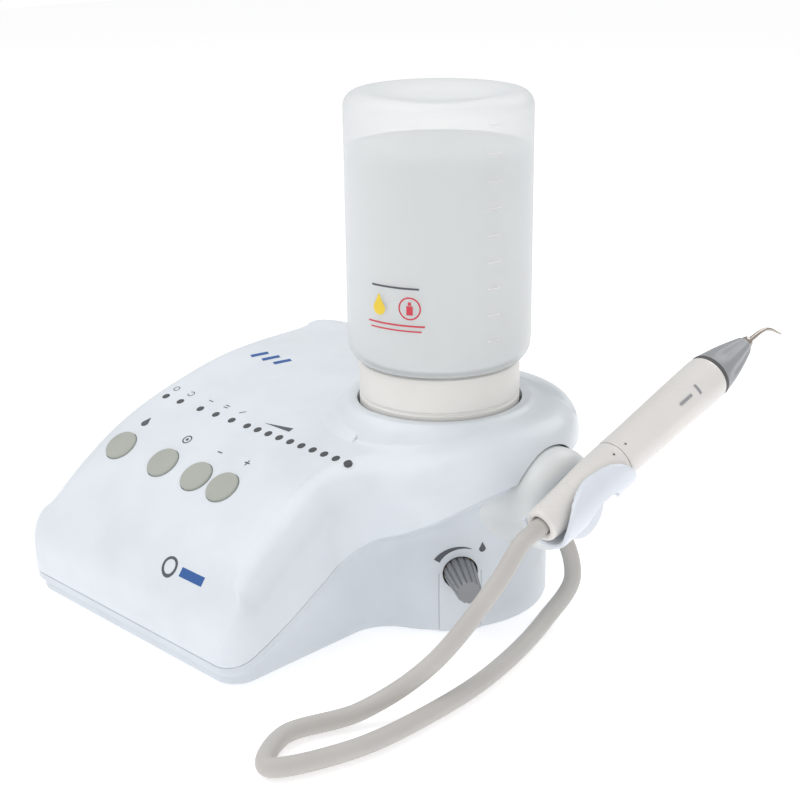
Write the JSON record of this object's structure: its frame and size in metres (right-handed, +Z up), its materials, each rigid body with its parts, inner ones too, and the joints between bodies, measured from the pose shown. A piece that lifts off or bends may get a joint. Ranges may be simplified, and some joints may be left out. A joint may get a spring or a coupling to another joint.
{
  "type": "ultrasonic scaler",
  "caption": "Desktop ultrasonic dental scaler: wedge control unit with a round pod, inverted water bottle, tilting cradle and a corded handpiece with a hooked tip.",
  "frame": {"origin": "on the desk under the water bottle axis, at the centre of the foot under the bottle", "axes": "+X to the operator right, +Y away from the operator, +Z up"},
  "size_m": [0.2532, 0.326, 0.2435],
  "materials": {
    "casing": "light bluish white, satin gloss",
    "casing_base": "light bluish grey white, satin",
    "cap_plastic": "warm white moulded plastic",
    "bottle_plastic": "translucent milky polyethylene",
    "button_rubber": "grey green, matte",
    "dark_lens": "smoked light pipe",
    "knob_grey": "mid grey, fluted",
    "black_plastic": "black moulded",
    "rubber_dark": "black rubber",
    "silicone_seal": "translucent silicone",
    "board_green": "circuit board laminate",
    "metal": "zinc plated steel",
    "tip_steel": "polished stainless steel",
    "aluminium": "extruded aluminium",
    "brass": "turned brass",
    "ceramic": "sintered piezo ceramic",
    "cradle_plastic": "bluish white, gloss",
    "handpiece_plastic": "warm white, autoclavable",
    "nose_grey": "mid grey, matte",
    "cable_sheath": "warm light grey silicone",
    "tube_clear": "clear silicone hose"
  },
  "bodies": {
    "root": {"top_cover": "casing", "base_shell": "casing_base", "knob_slot_cover": "casing_base", "rubber_feet": "rubber_dark", "case_screws": "metal", "power_switch_frame": "black_plastic", "power_socket": "black_plastic", "foot_switch_socket": "black_plastic", "led_windows": "dark_lens", "panel_board": "board_green", "tact_switches": "black_plastic", "indicator_leds": "dark_lens", "bottle_seat": "cap_plastic", "drain_pin": "metal", "flow_valve": "brass", "board_standoffs": "brass", "main_board": "board_green", "board_screws": "metal", "output_transformer": "black_plastic", "heat_sink": "aluminium", "smoothing_capacitors": "black_plastic", "solenoid_valve": "black_plastic", "supply_tube": "tube_clear", "delivery_tube": "tube_clear", "friction_washer": "metal", "handpiece_cable": "cable_sheath", "cable_gland": "casing_base"},
    "water_key": {"water_button": "button_rubber"},
    "option_key": {"option_button": "button_rubber"},
    "minus_key": {"minus_button": "button_rubber"},
    "plus_key": {"plus_button": "button_rubber"},
    "rocker": {"power_switch_rocker": "black_plastic"},
    "flow_knob": {"water_knob": "knob_grey", "knob_spindle": "brass"},
    "cap_unit": {"bottle_cap": "cap_plastic", "valve_guide": "cap_plastic", "cap_seal": "silicone_seal"},
    "valve": {"valve_stem": "cap_plastic"},
    "bottle": {"water_bottle": "bottle_plastic"},
    "holder": {"cradle": "cradle_plastic", "cradle_pivot_screw": "metal"},
    "hose_end": {"connector_sleeve": "handpiece_plastic", "connector_core": "black_plastic", "connector_o_rings": "rubber_dark"},
    "handpiece": {"handpiece_shell": "handpiece_plastic", "nose_o_ring": "rubber_dark", "nose_cone": "nose_grey", "light_guide": "silicone_seal", "transducer_horn": "metal", "piezo_rings": "ceramic", "stack_electrodes": "brass", "back_mass": "metal", "light_ring": "silicone_seal"},
    "tip": {"scaler_tip": "tip_steel"}
  },
  "joints": [
    {"name": "water_press", "type": "slide", "parent": "root", "child": "water_key", "axis": [0, 0.5337, -0.8457], "range_m": [0, 0.0008], "stiffness_N_per_m": 600},
    {"name": "option_press", "type": "slide", "parent": "root", "child": "option_key", "axis": [0, 0.5337, -0.8457], "range_m": [0, 0.0008], "stiffness_N_per_m": 600},
    {"name": "minus_press", "type": "slide", "parent": "root", "child": "minus_key", "axis": [0, 0.5337, -0.8457], "range_m": [0, 0.0008], "stiffness_N_per_m": 600},
    {"name": "plus_press", "type": "slide", "parent": "root", "child": "plus_key", "axis": [0, 0.5337, -0.8457], "range_m": [0, 0.0008], "stiffness_N_per_m": 600},
    {"name": "power_rock", "type": "hinge", "parent": "root", "child": "rocker", "pos_m": [-0.112, 0.0495, 0.026], "axis": [1, 0, 0], "range_deg": [-14, 0]},
    {"name": "water_flow_turn", "type": "hinge", "parent": "root", "child": "flow_knob", "pos_m": [0, 0, 0.0305], "axis": [0.809, -0.5878, 0], "range_deg": [0, 270]},
    {"name": "bottle_lift", "type": "slide", "parent": "root", "child": "cap_unit", "axis": [0, 0, 1], "range_m": [0, 0.08]},
    {"name": "valve_close", "type": "slide", "parent": "cap_unit", "child": "valve", "axis": [0, 0, 1], "range_m": [-0.003, 0]},
    {"name": "bottle_unscrew", "type": "hinge", "parent": "cap_unit", "child": "bottle", "pos_m": [0, 0, 0.1], "axis": [0, 0, 1], "range_deg": [0, 360]},
    {"name": "cradle_tilt", "type": "hinge", "parent": "root", "child": "holder", "pos_m": [0.076, 0.0045, 0.064], "axis": [1, 0, 0], "range_deg": [-15, 30], "deforming": ["handpiece_cable"]},
    {"name": "handpiece_draw", "type": "slide", "parent": "holder", "child": "hose_end", "axis": [0, 0.9542, 0.299], "range_m": [0, 0.06]},
    {"name": "handpiece_unplug", "type": "slide", "parent": "hose_end", "child": "handpiece", "axis": [0, 0.9542, 0.299], "range_m": [0, 0.03]},
    {"name": "tip_unscrew", "type": "hinge", "parent": "handpiece", "child": "tip", "pos_m": [0.092, -0.0345, 0.0699], "axis": [0, 0.9542, 0.299], "range_deg": [0, 360]}
  ],
  "couplings": [
    {"joint": "valve_close", "follows": "bottle_lift", "ratio": -0.0375}
  ]
}
